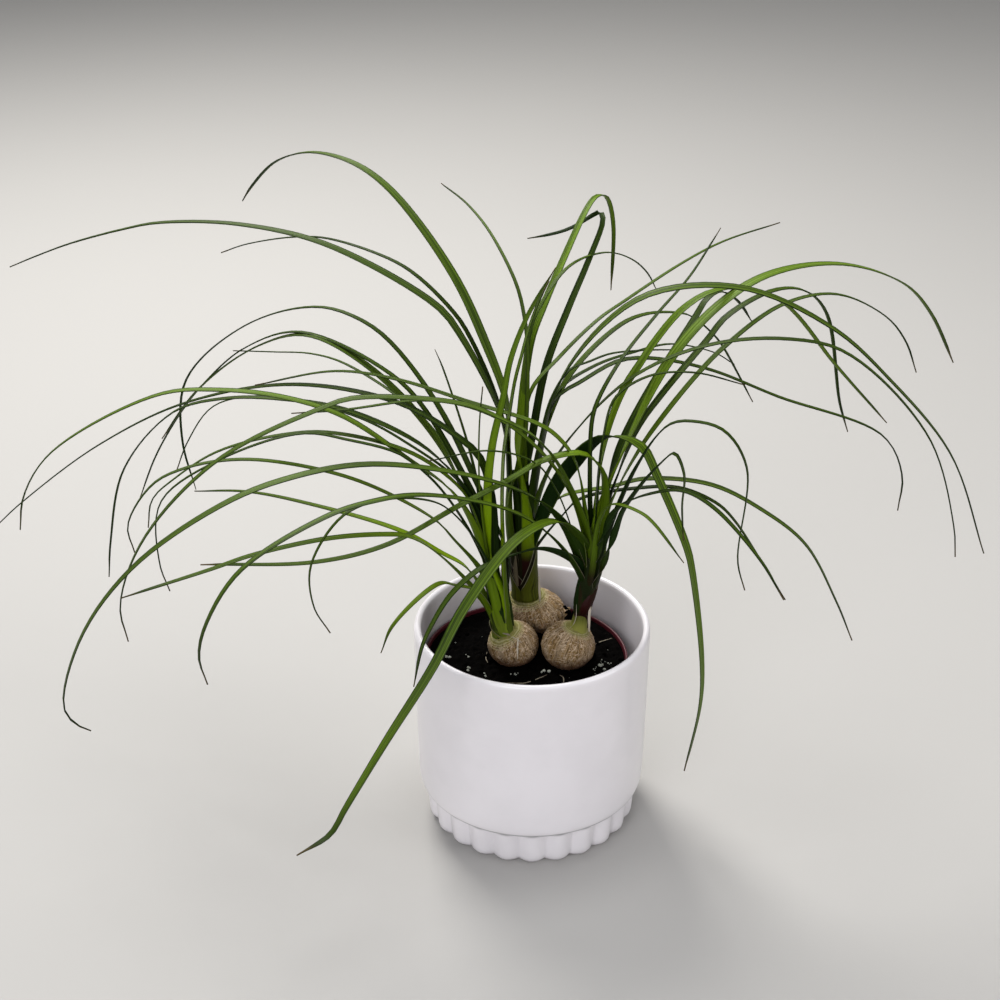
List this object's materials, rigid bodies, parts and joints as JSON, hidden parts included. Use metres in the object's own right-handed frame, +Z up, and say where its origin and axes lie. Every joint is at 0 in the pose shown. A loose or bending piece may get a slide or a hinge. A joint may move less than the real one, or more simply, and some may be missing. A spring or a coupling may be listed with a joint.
{
  "type": "potted ponytail palm",
  "caption": "Potted ponytail palm with swollen woody bulbs and long arching strap leaves, in a dark nursery pot set inside a round white ceramic pot with a fluted foot.",
  "frame": {"origin": "middle of the ceramic pot's underside, on the surface it stands on", "axes": "+Z up along the pot's axis, +X to the viewer's right, +Y away from the viewer"},
  "size_m": [0.6002, 0.3569, 0.3582],
  "materials": {
    "outer_pot": "cool white glaze, satin gloss",
    "nursery_pot": "dark red, slightly glossy",
    "soil": "near-black moist peat mix with white perlite",
    "bulb_left": "tan-grey fibrous bark",
    "leaves_left": "dark green, finely veined, soft sheen",
    "bulb_right": "tan-grey fibrous bark",
    "leaves_right": "mid green, finely veined, soft sheen",
    "bulb_back": "tan-grey fibrous bark",
    "leaves_back": "dark green, finely veined, soft sheen"
  },
  "bodies": {
    "root": {"outer_pot": "outer_pot", "nursery_pot": "nursery_pot", "soil": "soil", "bulb_left": "bulb_left", "leaves_left": "leaves_left", "bulb_right": "bulb_right", "leaves_right": "leaves_right", "bulb_back": "bulb_back", "leaves_back": "leaves_back"}
  },
  "joints": []
}
